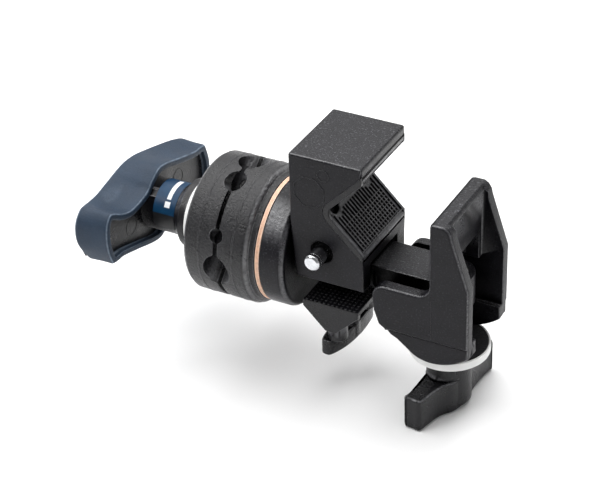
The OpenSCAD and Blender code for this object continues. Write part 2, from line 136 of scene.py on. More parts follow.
def round_edges(mesh, width, where=None, segments=3, sharp=35):
    """Rounds the outer edges sharper than an angle, all of them or those that pass a test."""
    mesh.normal_update()
    edges = [
        edge for edge in mesh.edges
        if len(edge.link_faces) == 2 and edge.is_convex
        and edge.calc_face_angle() > math.radians(sharp)
        and (where is None or where(edge.verts[0].co, edge.verts[1].co))
    ]
    if edges:
        bmesh.ops.bevel(
            mesh, geom=edges, offset=width * MM, offset_type="OFFSET", segments=segments,
            profile=0.5, affect="EDGES", clamp_overlap=False, harden_normals=False,
        )


def near(a, b):
    """Whether two lengths are all but the same."""
    return abs(a - b) < SAME_PLACE


def drilled(mesh, drills):
    """A closed mesh with closed shapes taken away from it."""
    holders = []
    for part in (mesh, drills):
        bmesh.ops.recalc_face_normals(part, faces=part.faces)
        data = bpy.data.meshes.new("step")
        part.to_mesh(data)
        part.free()
        holders.append(bpy.data.objects.new("step", data))
        bpy.context.scene.collection.objects.link(holders[-1])
    step = holders[0].modifiers.new("cut", "BOOLEAN")
    step.object = holders[1]
    step.solver = "EXACT"
    depsgraph = bpy.context.evaluated_depsgraph_get()
    result = bmesh.new()
    result.from_mesh(bpy.data.meshes.new_from_object(holders[0].evaluated_get(depsgraph)))
    for holder in holders:
        bpy.data.objects.remove(holder)
    return result


def ring(mesh, centre, axis, radius, width, height):
    """Low raised ring on a flat face."""
    side = Z if abs(axis.z) < 0.5 else X
    low, high = radius - width / 2, radius + width / 2
    soft = width / 4
    lathe(mesh, [(low, -0.1 * MM), (low, height / 2), (low + soft, height),
                 (high - soft, height), (high, height / 2), (high, -0.1 * MM)],
          centre, axis, side)


def join(mesh, other):
    """Adds another mesh's faces to a mesh."""
    data = bpy.data.meshes.new("step")
    other.to_mesh(data)
    other.free()
    mesh.from_mesh(data)
    bpy.data.meshes.remove(data)


def cylinder(mesh, radius, origin, axis, length, segments=40):
    """Plain closed cylinder."""
    side = Z if abs(axis.z) < 0.5 else X
    other = axis.cross(side)
    turns = [2 * math.pi * k / segments for k in range(segments)]
    rim = [side * (radius * math.cos(t)) + other * (radius * math.sin(t)) for t in turns]
    loft(mesh, [[origin + p for p in rim], [origin + axis * length + p for p in rim]])


# ---- materials ------------------------------------------------------------------------------

class Nodes:
    """Short calls for building one material's node tree."""

    def __init__(self, name):
        self.material = bpy.data.materials.new(name)
        self.material.use_nodes = True
        self.tree = self.material.node_tree
        self.shader = self.tree.nodes["Principled BSDF"]
        self.place = self.add("ShaderNodeTexCoord")

    def add(self, kind, **settings):
        """A new node with some of its settings."""
        node = self.tree.nodes.new(kind)
        for key, value in settings.items():
            setattr(node, key, value)
        return node

    def link(self, source, target):
        self.tree.links.new(source, target)

    def noise(self, size_mm, detail=3.0, roughness=0.55, distortion=0.0):
        """Noise whose patches are about a size across."""
        node = self.add("ShaderNodeTexNoise")
        node.inputs["Scale"].default_value = 1 / (size_mm * MM)
        node.inputs["Detail"].default_value = detail
        node.inputs["Roughness"].default_value = roughness
        node.inputs["Distortion"].default_value = distortion
        self.link(self.place.outputs["Object"], node.inputs["Vector"])
        return node.outputs["Fac"]

    def cloud(self, size_mm, detail):
        """Broad soft patches between 0 and 1."""
        return self.ramp(self.noise(size_mm, detail), 0.35, 0.65)

    def ramp(self, source, low, high, start=0.0, end=1.0):
        """Maps low to start and high to end, and holds the ends."""
        node = self.add("ShaderNodeMapRange")
        node.inputs["From Min"].default_value = low
        node.inputs["From Max"].default_value = high
        node.inputs["To Min"].default_value = start
        node.inputs["To Max"].default_value = end
        self.link(source, node.inputs["Value"])
        return node.outputs["Result"]

    def math(self, operation, a, b):
        """Arithmetic on two values, each a number or a socket."""
        node = self.add("ShaderNodeMath", operation=operation)
        for socket, value in zip(node.inputs, (a, b)):
            if isinstance(value, (int, float)):
                socket.default_value = value
            else:
                self.link(value, socket)
        return node.outputs["Value"]

    def mix(self, factor, a, b):
        """Colour a where the factor is 0 and b where it is 1."""
        node = self.add("ShaderNodeMix", data_type="RGBA")
        self.link(factor, node.inputs["Factor"])
        colours = [s for s in node.inputs if s.type == "RGBA"]
        for socket, value in zip(colours, (a, b)):
            if isinstance(value, tuple):
                socket.default_value = (*value, 1)
            else:
                self.link(value, socket)
        return next(s for s in node.outputs if s.type == "RGBA")

    def edges(self, radius_mm):
        """1 on convex or concave edges and 0 on faces."""
        bevel = self.add("ShaderNodeBevel", samples=4)
        bevel.inputs["Radius"].default_value = radius_mm * MM
        plain = self.add("ShaderNodeNewGeometry")
        dot = self.add("ShaderNodeVectorMath", operation="DOT_PRODUCT")
        self.link(bevel.outputs["Normal"], dot.inputs[0])
        self.link(plain.outputs["Normal"], dot.inputs[1])
        return self.ramp(dot.outputs["Value"], 0.995, 0.82)

    def rounding(self, axis, other=None):
        """1 on rounded edges between flat faces along an axis and the walls round it."""
        part = self.add("ShaderNodeSeparateXYZ")
        self.link(self.place.outputs["Normal"], part.inputs["Vector"])
        level = self.math("ABSOLUTE", part.outputs[axis], 0.0)
        band = self.math("MULTIPLY", self.ramp(level, 0.3, 0.55), self.ramp(level, 0.92, 0.75))
        if other:
            also = self.math("ABSOLUTE", part.outputs[other], 0.0)
            band = self.math("MULTIPLY", band, self.ramp(also, 0.04, 0.12))
        return band

    def painted_shade_mask(self, reach_mm, low=0.25, high=0.85):
        """1 on open faces and less in crevices: where shade is painted in."""
        node = self.add("ShaderNodeAmbientOcclusion", samples=4)
        node.inputs["Distance"].default_value = reach_mm * MM
        return self.ramp(node.outputs["AO"], low, high)

    def bump(self, height, depth_mm):
        """Relief of a depth, as a normal for the shader."""
        node = self.add("ShaderNodeBump")
        node.inputs["Strength"].default_value = 1.0
        node.inputs["Distance"].default_value = depth_mm * MM
        self.link(height, node.inputs["Height"])
        return node.outputs["Normal"]


def surface(name, colour, roughness, grain_mm, grain_depth, metallic=0.0, mottle=0.25,
            mottle_mm=9.0, abrasion_and_highlight=0.35, abrasion_and_highlight_colour=None, specular=0.5, spread=0.12,
            speckle=0.0, detail=3.0, distortion=0.0, shade_reach_mm=0.0, abraded_and_lit_axes=()):
    """A finish with mottled colour, uneven gloss, a grain in relief, lighter edges that are partly
    abrasion and partly painted highlight, and, if asked, painted shade in crevices.
    """
    nodes = Nodes(name)
    shader = nodes.shader
    shader.inputs["Metallic"].default_value = metallic
    shader.inputs["Specular IOR Level"].default_value = specular
    dark = tuple(c * (1 - mottle) for c in colour)
    light = tuple(min(1.0, c * (1 + mottle)) for c in colour)
    cloud = nodes.cloud(mottle_mm, 4)
    tint = nodes.mix(cloud, dark, light)
    grain = nodes.noise(grain_mm, detail, 0.6, distortion)
    # Lighter colour on edges: partly real abrasion, partly painted highlight.
    if abrasion_and_highlight:
        pale = abrasion_and_highlight_colour or tuple(min(1.0, c * 2.2 + 0.02) for c in colour)
        abrasion_and_shine_patches = nodes.ramp(nodes.noise(2.5, 3), 0.3, 0.6, 0.35, 1.0)
        where = nodes.rounding(*abraded_and_lit_axes) if abraded_and_lit_axes else nodes.edges(0.5)
        mask = nodes.math("MULTIPLY", nodes.math("MULTIPLY", where, abrasion_and_shine_patches), abrasion_and_highlight)
        tint = nodes.mix(mask, tint, pale)
    if speckle:
        dots = nodes.ramp(nodes.noise(0.55, 2, 0.5), 0.62, 0.74)
        tint = nodes.mix(nodes.math("MULTIPLY", dots, speckle), tint,
                         tuple(min(1.0, c * 4 + 0.05) for c in colour))
    # Painted shade: the colour is darkened towards 0.12 of itself in crevices, and reflections are
    # damped there too.
    if shade_reach_mm:
        unshaded = nodes.painted_shade_mask(shade_reach_mm)
        tint = nodes.mix(unshaded, tuple(c * 0.12 for c in colour), tint)
        gloss = nodes.ramp(unshaded, 0, 1, 0.05, specular)
        if abraded_and_lit_axes:
            gloss = nodes.math("MULTIPLY", gloss, nodes.ramp(mask, 0, 0.8, 1.0, 3.2))
        nodes.link(gloss, shader.inputs["Specular IOR Level"])
    nodes.link(tint, shader.inputs["Base Color"])
    uneven = nodes.math("ADD", nodes.ramp(cloud, 0, 1, -spread / 2, spread / 2),
                        nodes.ramp(grain, 0.3, 0.7, -spread / 2, spread / 2))
    nodes.link(nodes.math("ADD", uneven, roughness), shader.inputs["Roughness"])
    nodes.link(nodes.bump(grain, grain_depth), shader.inputs["Normal"])
    return nodes.material


def casting_material():
    """Black powder coat: satin on the flanks, a coarser grain on what faces up with its glints
    painted in as lighter dots, rounded edges lighter as partly abrasion and partly painted
    highlight, and painted shade in crevices.
    """
    nodes = Nodes("black_casting")
    shader = nodes.shader
    part = nodes.add("ShaderNodeSeparateXYZ")
    nodes.link(nodes.place.outputs["Normal"], part.inputs["Vector"])
    upward = nodes.ramp(part.outputs["Z"], 0.2, 0.8)
    cloud = nodes.cloud(11, 4)
    tint = nodes.mix(cloud, (0.0058, 0.0055, 0.0076), (0.0096, 0.0092, 0.012))
    # Lighter grain dots, denser on faces that point up: a coarser grain there, with its glints
    # painted in as lighter colour.
    dots = nodes.ramp(nodes.noise(0.8, 2, 0.5), 0.58, 0.7)
    grain_and_glint_share = nodes.ramp(upward, 0, 1, 0.14, 0.6)
    tint = nodes.mix(nodes.math("MULTIPLY", dots, grain_and_glint_share), tint, (0.13, 0.131, 0.145))
    # Rounded edges lighter and glossier: partly real abrasion, partly painted highlight.
    abrasion_and_shine_patches = nodes.ramp(nodes.noise(1.6, 3), 0.3, 0.6, 0.4, 1.0)
    mask = nodes.math("MULTIPLY", nodes.rounding("Y"), abrasion_and_shine_patches)
    tint = nodes.mix(nodes.math("MULTIPLY", mask, 0.7), tint, (0.065, 0.065, 0.074))
    # Painted shade: near-black in crevices and cavities, with reflections damped there too.
    unshaded = nodes.painted_shade_mask(18, 0.48, 0.88)
    nodes.link(nodes.mix(unshaded, (0.0006, 0.0006, 0.0007), tint), shader.inputs["Base Color"])
    gloss = nodes.math("MULTIPLY", nodes.ramp(unshaded, 0, 1, 0.05, 1.0),
                       nodes.ramp(upward, 0, 1, 0.2, 0.26))
    gloss = nodes.math("MULTIPLY", gloss, nodes.ramp(mask, 0, 1, 1.0, 4.5))
    nodes.link(gloss, shader.inputs["Specular IOR Level"])
    fine = nodes.noise(0.8, 3, 0.6)
    rough = nodes.math("ADD", nodes.ramp(cloud, 0, 1, 0.3, 0.37),
                       nodes.ramp(fine, 0.3, 0.7, -0.05, 0.07))
    rough = nodes.math("SUBTRACT", rough, nodes.ramp(mask, 0, 1, 0.0, 0.06))
    nodes.link(rough, shader.inputs["Roughness"])
    height = nodes.math("MULTIPLY", fine, nodes.ramp(upward, 0, 1, 0.45, 1.0))
    nodes.link(nodes.bump(height, 0.3), shader.inputs["Normal"])
    return nodes.material


def label_material():
    """Dark blue printed film with one plain pale band across it."""
    nodes = Nodes("blue_label")
    shader = nodes.shader
    shader.inputs["Specular IOR Level"].default_value = 0.25
    cloud = nodes.cloud(6, 3)
    tint = nodes.mix(cloud, (0.0, 0.022, 0.062), (0.001, 0.034, 0.085))
    part = nodes.add("ShaderNodeSeparateXYZ")
    nodes.link(nodes.place.outputs["Object"], part.inputs["Vector"])
    low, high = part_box("label_band")
    band_off = 1.3 * MM
    middle, axis_z = (low.x + high.x) / 2 + band_off, (low.z + high.z) / 2
    off = nodes.math("ABSOLUTE", nodes.math("SUBTRACT", part.outputs["X"], middle), 0.0)
    height = nodes.math("SUBTRACT", part.outputs["Z"], axis_z)
    front = nodes.ramp(part.outputs["Y"], 0.0042, 0.004)
    band = nodes.math("MULTIPLY", nodes.ramp(off, 0.0011, 0.001),
                      nodes.math("MULTIPLY", nodes.ramp(height, 0.0074, 0.0076), front))
    block = nodes.math("MULTIPLY", nodes.ramp(off, 0.0014, 0.0013),
                       nodes.math("MULTIPLY", nodes.ramp(height, 0.0044, 0.0046),
                                  nodes.ramp(height, 0.0068, 0.0066)))
    block = nodes.math("MULTIPLY", block, front)
    tint = nodes.mix(nodes.math("MAXIMUM", band, block), tint, (0.8, 0.81, 0.82))
    tint = nodes.mix(nodes.ramp(height, 0.0014, 0.0016), (0.008, 0.0081, 0.009), tint)
    nodes.link(tint, shader.inputs["Base Color"])
    nodes.link(nodes.ramp(cloud, 0, 1, 0.34, 0.46), shader.inputs["Roughness"])
    nodes.link(nodes.bump(nodes.noise(0.4, 2), 0.01), shader.inputs["Normal"])
    return nodes.material


MATERIALS = {
    "black_casting": casting_material(),
    "black_texture": surface("black_texture", (0.0085, 0.0083, 0.0102), 0.34, 1.0, 0.5,
                             mottle=0.3, mottle_mm=8, abrasion_and_highlight=0.85, specular=0.46,
                             abrasion_and_highlight_colour=(0.07, 0.07, 0.078), detail=3.5, distortion=0.5,
                             speckle=0.12, shade_reach_mm=5, abraded_and_lit_axes=("X",)),
    "black_nylon": surface("black_nylon", (0.0062, 0.006, 0.0076), 0.32, 0.9, 0.16, abrasion_and_highlight=0.8,
                           abrasion_and_highlight_colour=(0.075, 0.075, 0.085), specular=0.34, speckle=0.1,
                           shade_reach_mm=5, abraded_and_lit_axes=("Z", "X")),
    "black_facing": surface("black_facing", (0.004, 0.004, 0.0045), 0.6, 1.0, 0.5, speckle=0.45,
                            abrasion_and_highlight=0.2, specular=0.25),
    "plated_steel": surface("plated_steel", (0.5, 0.5, 0.48), 0.3, 0.6, 0.03, metallic=1.0,
                            mottle=0.12),
    "spring_steel": surface("spring_steel", (0.4, 0.4, 0.41), 0.32, 0.4, 0.015, metallic=1.0,
                            mottle=0.12),
    "chrome": surface("chrome", (0.58, 0.59, 0.61), 0.18, 0.8, 0.05, metallic=1.0, mottle=0.12,
                      mottle_mm=2, abrasion_and_highlight=0.2, abrasion_and_highlight_colour=(0.85, 0.85, 0.87), spread=0.1),
    "white_nylon": surface("white_nylon", (0.86, 0.86, 0.85), 0.42, 0.5, 0.03, mottle=0.04,
                           abrasion_and_highlight=0.0),
    # Near-white edges: painted highlight.
    "friction_copper": surface("friction_copper", (0.72, 0.44, 0.3), 0.5, 0.35, 0.05,
                               mottle=0.14, mottle_mm=2, abrasion_and_highlight=0.9,
                               abrasion_and_highlight_colour=(0.95, 0.88, 0.82)),
    "blue_rubber": surface("blue_rubber", (0.022, 0.038, 0.064), 0.5, 0.7, 0.25, mottle=0.12,
                           mottle_mm=12, abrasion_and_highlight=0.75, abrasion_and_highlight_colour=(0.15, 0.205, 0.28),
                           specular=0.24, speckle=0.16, shade_reach_mm=2,
                           abraded_and_lit_axes=("X",)),
    "blue_label": label_material(),
}


# ---- pieces ---------------------------------------------------------------------------------

FINISHED = set()


def slot_of(node):
    """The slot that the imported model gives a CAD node."""
    return NODES[node].data.materials[0].name.split(".")[0]


def stands_for(node, mesh, name):
    """Turns a finished mesh into the piece that stands for one CAD node, on its body and slot."""
    FINISHED.add(node)
    slot = slot_of(node)
    bmesh.ops.recalc_face_normals(mesh, faces=mesh.faces)
    data = bpy.data.meshes.new(name)
    mesh.to_mesh(data)
    mesh.free()
    for face in data.polygons:
        face.use_smooth = True
    data.materials.append(MATERIALS[slot])
    piece = bpy.data.objects.new(name, data)
    bpy.context.scene.collection.objects.link(piece)
    normals = piece.modifiers.new("flat_faces", "WEIGHTED_NORMAL")
    normals.keep_sharp = True
    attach(piece, BODY_OF[node])
    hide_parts(node)
    return piece


def rounded(node, name, width, segments=3, sharp=35):
    """A CAD node as it is, with its outer edges rounded."""
    mesh = cad_mesh(node)
    round_edges(mesh, width, None, segments, sharp)
    stands_for(node, mesh, name)


def clamp_body():
    """Cast body: rounded outer edges, finer ones round the V and the bores, and plain cast marks."""
    mesh = cad_mesh("clamp_body")
    low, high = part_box("clamp_body")
    half, left = high.y, low.x
    pad_low, pad_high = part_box("fixed_jaw_pad")
    seat, mouth = pad_low.x, pad_high.x
    shift = pad_high.z - mouth
    pin = sum(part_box("lock_pin"), Vector()) / 2
    lips, pin_rim = 21.9 * MM, 7 * MM
    full_width = 30 * MM                # only edges longer than this run right across the body
    tongue_x, tongue_low, tongue_side = mouth + 0.4 * MM, -28.5 * MM, 10 * MM
    root_top, root_side = -24 * MM, 14 * MM

    def on_flank(a, b):
        return near(abs(a.y), half) and near(abs(b.y), half)

    def in_notch(a, b):
        m = (a + b) / 2
        return m.x > seat - 1 * MM and abs(m.z) < m.x + shift + 0.8 * MM and abs(m.z) < lips

    def by_pin(a, b):
        return math.hypot(a.x - pin.x, a.z - pin.z) < pin_rim

    def outer(a, b):
        if on_flank(a, b):
            return not in_notch(a, b) and not by_pin(a, b)
        across = near(a.x, b.x) and near(a.z, b.z) and abs(a.y - b.y) > full_width
        return across and not in_notch(a, b)

    def along_tongue(a, b):
        return (min(a.x, b.x) > mouth - 4 * MM and max(a.x, b.x) > tongue_x
                and near(a.z, b.z) and a.z > tongue_low and abs(a.y) > tongue_side)

    def under_tongue(a, b):
        return min(a.x, b.x) > mouth - 1 * MM and abs(a.y) < root_side and a.z < root_top

    round_edges(mesh, 1.1, outer)
    round_edges(mesh, 0.3, lambda a, b: on_flank(a, b) and in_notch(a, b), 2)
    round_edges(mesh, 0.4, lambda a, b: on_flank(a, b) and by_pin(a, b), 2)
    round_edges(mesh, 0.8, along_tongue)
    round_edges(mesh, 0.35, under_tongue, 2)
    round_mark = Vector((-0.6 * MM, -half, 17.7 * MM))
    ring(mesh, round_mark, -Y, 2.7 * MM, 0.5 * MM, 0.2 * MM)
    octagon_mark = Vector((left + 9.6 * MM, -half, 8.0 * MM))
    profile = [(r * MM, h * MM) for r, h in
               ((7.2, -0.1), (7.2, 0.12), (7.35, 0.2), (7.7, 0.2), (7.85, 0.12), (7.85, -0.1))]
    lathe(mesh, profile, octagon_mark, -Y,
          Vector((math.cos(math.pi / 8), 0, math.sin(math.pi / 8))), 8)
    stands_for("clamp_body", mesh, "clamp_casting")


def jaw_liner():
    """Ribbed plastic liner of the V: ribs down both flanks, crossed by rows towards the lips."""
    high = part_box("fixed_jaw_pad")[1]
    mouth, shift, half = high.x, high.z - high.x, high.y
    rib_h, border, lip = 0.8 * MM, 1.6 * MM, 1.4 * MM
    corner, seat = 3.4 * MM, 6.5 * MM
    peg_r, peg_y = 4 * MM, half - 7.6 * MM
    rib_w, row_w, end_w = 1.0 * MM, 0.75 * MM, 1.1 * MM
    pitch, row_pitch, rows = 2.15 * MM, 1.75 * MM, 8

    def notch(apex, radius, end):
        centre = apex + radius * math.sqrt(2)
        arc = [math.radians(135 + 9 * i) for i in range(11)]
        return ([(end, end - apex)]
                + [(centre + radius * math.cos(a), radius * math.sin(a)) for a in arc]
                + [(end, apex - end)])

    base = bmesh.new()
    inner, outer = notch(0, corner, mouth), list(reversed(notch(-shift, seat, mouth)))
    sunk = notch(-rib_h * math.sqrt(2), corner + rib_h, mouth)
    prism(base, sunk + outer, -half + border / 2, half - border / 2)
    pegs = bmesh.new()
    for side in (-1, 1):
        cylinder(pegs, peg_r, Vector((-8 * MM, side * peg_y, 0)), X, 14 * MM)
    mesh = drilled(base, pegs)
    edge = bmesh.new()
    for side in (-1, 1):
        prism(edge, inner + outer, side * half, side * (half - border))
    bmesh.ops.recalc_face_normals(edge, faces=edge.faces)
    round_edges(edge, 0.3, None, 2, 50)
    join(mesh, edge)
    slope = (mouth - lip / 2) * math.sqrt(2)
    ribs = int((half - border - 1.0 * MM) / pitch)
    for side in (-1, 1):
        down = Vector((1, 0, side)).normalized()
        up = Vector((1, 0, -side)).normalized()
        base_at = -up * (rib_h + 0.2 * MM)
        height = rib_h + 0.15 * MM
        for k in range(-ribs, ribs + 1):
            reach = peg_r ** 2 - (abs(k * pitch) - peg_y) ** 2
            start = max(corner + 0.4 * MM, math.sqrt(2 * max(reach, 0)) + 0.7 * MM)
            bar(mesh, base_at + down * start + Y * (k * pitch), down * (slope - start), Y, up,
                rib_w, height, 0.2 * MM)
        for k in range(rows):
            at = slope - 0.8 * MM - k * row_pitch
            bar(mesh, base_at + down * at - Y * (ribs * pitch), Y * (2 * ribs * pitch), down, up,
                row_w, height - 0.08 * MM, 0.15 * MM)
        bar(mesh, base_at + down * (slope + 0.15 * MM) - Y * (half - border),
            Y * 2 * (half - border), down, up, end_w, height, 0.25 * MM)
    stands_for("fixed_jaw_pad", mesh, "jaw_liner")


def moving_jaw():
    """Cast jaw: broad rounding on the outside, finer inside, and a faint parting line."""
    mesh = cad_mesh("moving_jaw")
    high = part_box("moving_jaw")[1]
    pad_low, pad_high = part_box("moving_jaw_pad")
    half = high.y
    face = pad_low.x + 0.9 * MM
    line_low, line_length = -50 * MM, high.z + 48.4 * MM

    def outside(a, b):
        return min(abs(a.y), abs(b.y)) > half - 1 * MM

    def top(a, b):
        return a.z > high.z - 1.6 * MM and b.z > high.z - 1.6 * MM

    def pocket(a, b):
        return (near(a.x, face) and near(b.x, face)
                and max(abs(a.y), abs(b.y)) < pad_high.y + 0.3 * MM)

    round_edges(mesh, 1.4, lambda a, b: outside(a, b) or (top(a, b) and not pocket(a, b)), 4)
    round_edges(mesh, 0.25, pocket, 2)
    round_edges(mesh, 0.5, lambda a, b: not pocket(a, b), 2)
    bar(mesh, Vector((face + 1.2 * MM, -half + 0.05 * MM, line_low)), Z * line_length, X, -Y,
        0.35 * MM, 0.11 * MM, 0.1 * MM)
    stands_for("moving_jaw", mesh, "jaw_casting")


def moving_pad():
    """Ribbed plastic face of the moving jaw."""
    low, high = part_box("moving_jaw_pad")
    slot_half, slot_top = 12.5 * MM, -13.5 * MM
    rib_h = 0.8 * MM
    back = low.x + rib_h
    mesh = bmesh.new()
    prism(mesh, [(back, slot_top), (high.x, slot_top), (high.x, high.z), (back, high.z)],
          low.y, high.y)
    for side in (-1, 1):
        prism(mesh, [(back, low.z), (high.x, low.z), (high.x, slot_top), (back, slot_top)],
              side * slot_half, side * high.y)
    pitch, first = 2.1 * MM, 1.2 * MM
    for k in range(int((high.z - low.z) / pitch)):
        z = high.z - first - k * pitch
        spans = ([(low.y, high.y)] if z > slot_top + 0.7 * MM
                 else [(low.y, -slot_half), (slot_half, high.y)])
        for left, right in spans:
            bar(mesh, Vector((back + 0.1 * MM, left + 0.3 * MM, z)),
                Y * (right - left - 0.6 * MM), Z, -X, 1.2 * MM, rib_h + 0.1 * MM, 0.35 * MM)
    stands_for("moving_jaw_pad", mesh, "jaw_face_pad")


def head_plate(node, name, line_x):
    """Gripping plate: rounded hole rims and a thin cast line round it."""
    mesh = cad_mesh(node)
    round_edges(mesh, 0.5, None, 2, 40)
    low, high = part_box(node)
    centre = (low + high) / 2
    radius = high.y
    half_width, root, crest = 0.4 * MM, radius - 0.4 * MM, radius + 0.16 * MM
    lathe(mesh, [(root, -half_width), (radius, -half_width), (crest, -half_width / 2),
                 (crest, half_width / 2), (radius, half_width), (root, half_width)],
          Vector((line_x * MM, centre.y, centre.z)), X, Z, 160)
    stands_for(node, mesh, name)


def handle_core():
    """Hub and pocket floors of the T-handle, with a mark in each pocket and a flared hub end."""
    mesh = cad_mesh("grip_handle_core")
    round_edges(mesh, 0.4, None, 2)
    low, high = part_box("grip_handle_core")
    floor_x = low.x + 9.7 * MM
    axis_z = (low.z + high.z) / 2
    for u, v in ((-20.3, 2.6), (20.3, -2.6)):
        y = (u * math.cos(HANDLE_TURN) - v * math.sin(HANDLE_TURN)) * MM
        z = (u * math.sin(HANDLE_TURN) + v * math.cos(HANDLE_TURN)) * MM
        ring(mesh, Vector((floor_x, y, axis_z + z)), X, 4.2 * MM, 0.5 * MM, 0.15 * MM)
    flare = 3.4
    profile = [(11.5, 0), (12.05, 0), (12.25, 1.0), (12.8, 2.1), (13.8, 2.9), (13.8, flare),
               (11.5, flare)]
    lathe(mesh, [(r * MM, h * MM) for r, h in profile],
          Vector((high.x - flare * MM, 0, axis_z)), X, Z, 64)
    stands_for("grip_handle_core", mesh, "handle_core")


def smooth_curve(points, steps):
    """Closed Catmull-Rom curve through points in the plane."""
    count = len(points)
    curve = []
    for i in range(count):
        p0, p1, p2, p3 = (Vector(points[(i + k) % count]) for k in (-1, 0, 1, 2))
        for j in range(steps):
            t = j / steps
            curve.append(0.5 * (2 * p1 + (p2 - p0) * t + (2 * p0 - 5 * p1 + 4 * p2 - p3) * t * t
                                + (3 * p1 - p0 - 3 * p2 + p3) * t * t * t))
    return curve


def to_outline(point, curve):
    """Distance from a point to a closed curve."""
    best = 1e9
    for a, b in zip(curve, curve[1:] + curve[:1]):
        way = b - a
        share = max(0.0, min(1.0, (point - a).dot(way) / max(way.length_squared, 1e-12)))
        best = min(best, (a + way * share - point).length)
    return best


def inset(curve, depth):
    """Points moved inwards by a depth; those that would cross a tight corner join a neighbour."""
    if depth <= 0:
        return list(curve)
    count = len(curve)
    moved, kept = [], []
    for i, p in enumerate(curve):
        way = (curve[(i + 1) % count] - curve[i - 1]).normalized()
        q = p + Vector((-way.y, way.x)) * depth
        moved.append(q)
        kept.append(to_outline(q, curve) > 0.97 * depth)
    result = []
    for i in range(count):
        if kept[i]:
            result.append(moved[i])
            continue
        back = next(k for k in range(1, count) if kept[i - k])
        ahead = next(k for k in range(1, count) if kept[(i + k) % count])
        result.append((moved[i - back] + moved[(i + ahead) % count]) / 2)
    return result


def handle_cover():
    """Soft cover of the large T-handle: crowned palm side, wavy rim and rounded edges."""
    low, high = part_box("grip_handle_cover")
    axis_z = (low.z + high.z) / 2
    rim, palm = high.x / MM, low.x / MM
    edge, lip, belt = 1.8, 1.3, rim - 6
    # Half of each outline in millimetres, along the bar and across it: a half turn gives the rest
    side = [(42.5, -0.9), (40.9, 1), (37.5, 2.2), (33.4, 3.4), (21.5, 9.6), (12, 14.8),
            (4.7, 17.3), (-2.6, 15.4), (-8.1, 13), (-19.7, 13.6), (-27.3, 17.4), (-33, 22.4),
            (-36.5, 23.6), (-40.9, 19.4), (-43.3, 10)]
    palm_side = [(42.8, -0.9), (41.2, 1.7), (37.5, 4.0), (33.4, 5.9), (21.5, 10.6), (12, 14.3),
                 (4.7, 16), (-2.6, 16.6), (-8.1, 16.8), (-19.7, 17.9), (-27.3, 20.1), (-33, 22.6),
                 (-36.8, 23.2), (-41.8, 19.4), (-44.6, 10)]

    def whole(half):
        return smooth_curve(half + [(-u, -v) for u, v in half], 6)

    rim_curve, palm_curve = whole(side), whole(palm_side)
    rings = []

    def crown(u, v):
        """Palm surface: it falls away along the bar, and across it more the nearer its tips."""
        return palm + u * u / 600 + 0.014 * (v + 0.33 * u) ** 2 * (u / 42) ** 2

    def add(curve, place, squeeze=1.0):
        """One ring of the loft: a curve drawn across the axis, with its place along X."""
        points = []
        for u, v in curve:
            v *= squeeze
            y = u * math.cos(HANDLE_TURN) - v * math.sin(HANDLE_TURN)
            z = axis_z / MM + u * math.sin(HANDLE_TURN) + v * math.cos(HANDLE_TURN)
            points.append(Vector((place(u, v), y, z)) * MM)
        rings.append(points)

    inner = inset(palm_curve, edge)
    for squeeze in (0.05, 0.3, 0.55, 0.8):
        add(inner, crown, squeeze)
    for i in range(5):
        a = math.radians(90 * i / 4)
        add(inset(palm_curve, edge * (1 - math.sin(a))),
            lambda u, v, a=a: crown(u, v) + edge * (1 - math.cos(a)))
    for share in (0.5, 1.0):
        mixed = [p.lerp(q, share) for p, q in zip(palm_curve, rim_curve)]
        add(mixed, lambda u, v, share=share: ((1 - share) * (crown(u, v) + edge) + share * belt))
    for i in range(5):
        a = math.radians(90 * i / 4)
        add(inset(rim_curve, lip * (1 - math.cos(a))),
            lambda u, v, a=a: rim - lip * (1 - math.sin(a)))
    for depth, drop in ((2.5, 0.0), (2.85, 0.15), (3.0, 0.5), (3.0, 6.0)):
        add(inset(rim_curve, depth), lambda u, v, drop=drop: rim - drop)
    mesh = bmesh.new()
    loft(mesh, rings)
    count = len(rings[0])
    mesh.verts.ensure_lookup_table()
    mesh.faces.ensure_lookup_table()
    first = mesh.verts[:count]
    # The palm's many-sided end face would crease, so a strip of quads takes its place
    bmesh.ops.delete(mesh, geom=[mesh.faces[-2]], context="FACES_ONLY")
    for i in range(count // 2):
        corners = [first[i], first[i + 1], first[count - i - 1], first[(count - i) % count]]
        mesh.faces.new(list(dict.fromkeys(corners)))
    bmesh.ops.remove_doubles(mesh, verts=mesh.verts, dist=WELD)
    bmesh.ops.dissolve_degenerate(mesh, edges=mesh.edges, dist=WELD)
    stands_for("grip_handle_cover", mesh, "handle_cover")


def jaw_tee():
    """T-handle of the closing screw: rounded arms that rise into a round neck, and a cast mark."""
    mesh = cad_mesh("jaw_handle")
    low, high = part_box("jaw_handle")
    arm_top = low.z + 16.5 * MM
    round_edges(mesh, 1.5, None, 4)
    centre = (low + high) / 2
    along = Vector((math.cos(TEE_TURN), math.sin(TEE_TURN), 0))
    across = Vector((-math.sin(TEE_TURN), math.cos(TEE_TURN), 0))
    rings = []
    rise, reach, neck = high.z - arm_top + 0.35 * MM, 3.2 * MM, 9.93 * MM
    for i in range(9):
        share = i / 8
        out = reach * (1 - math.sqrt(1 - (1 - share) ** 2))
        level = Vector((centre.x, centre.y, arm_top - 0.4 * MM + share * rise))
        rings.append([level + (along * math.cos(t) + across * math.sin(t))
                      * (neck + out * abs(math.cos(t)) ** 5)
                      for t in (2 * math.pi * k / 64 for k in range(64))])
    loft(mesh, rings)
    mark = Vector((45.2 * MM, -15.1 * MM, arm_top))
    ring(mesh, mark, Z, 2.3 * MM, 0.5 * MM, 0.22 * MM)
    stands_for("jaw_handle", mesh, "jaw_tee_handle")


